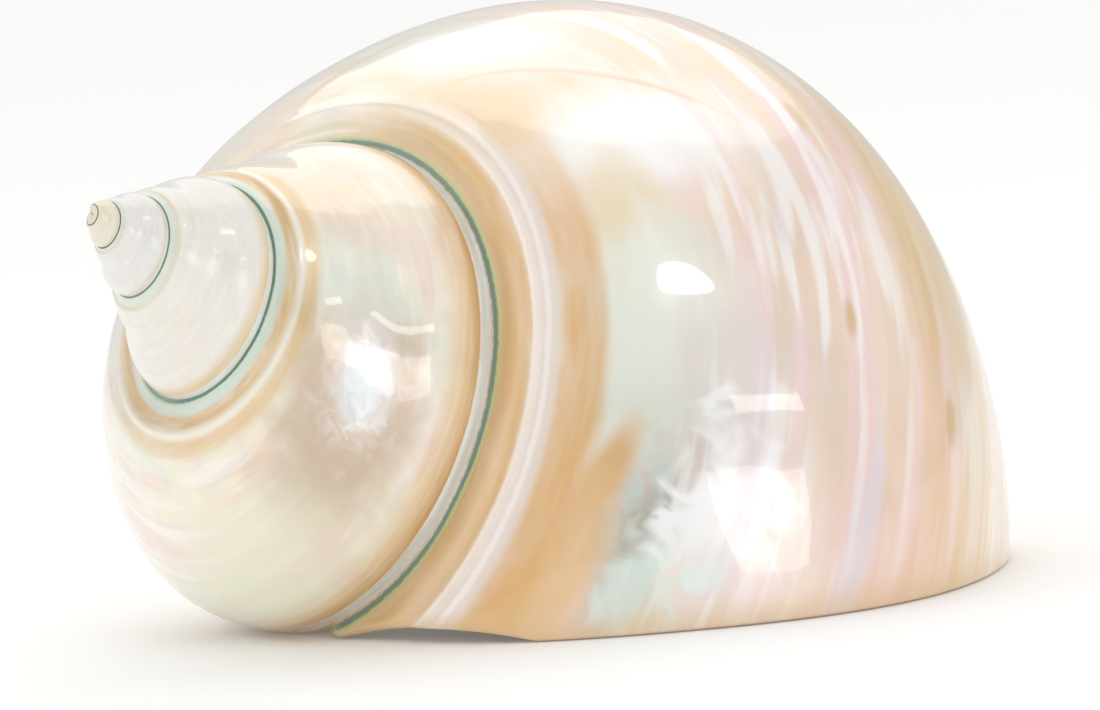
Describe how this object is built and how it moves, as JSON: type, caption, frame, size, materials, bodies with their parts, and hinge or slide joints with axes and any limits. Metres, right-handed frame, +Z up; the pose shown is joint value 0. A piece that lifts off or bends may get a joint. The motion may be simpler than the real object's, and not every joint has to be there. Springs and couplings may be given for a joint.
{
  "type": "turban shell",
  "caption": "Polished turban shell with a pointed coiled spire, a swollen last whorl and a round hollow aperture that it rests on.",
  "frame": {"origin": "middle of the bounding box, on the plane that the lip rests on", "axes": "+Z up from the aperture, +X from the spire's tip towards the outer lip, +Y away from the side that the picture shows"},
  "size_m": [0.0846, 0.0656, 0.0558],
  "materials": {
    "pearl": "polished mother-of-pearl, high gloss"
  },
  "bodies": {
    "root": {"shell": "pearl"}
  },
  "joints": []
}
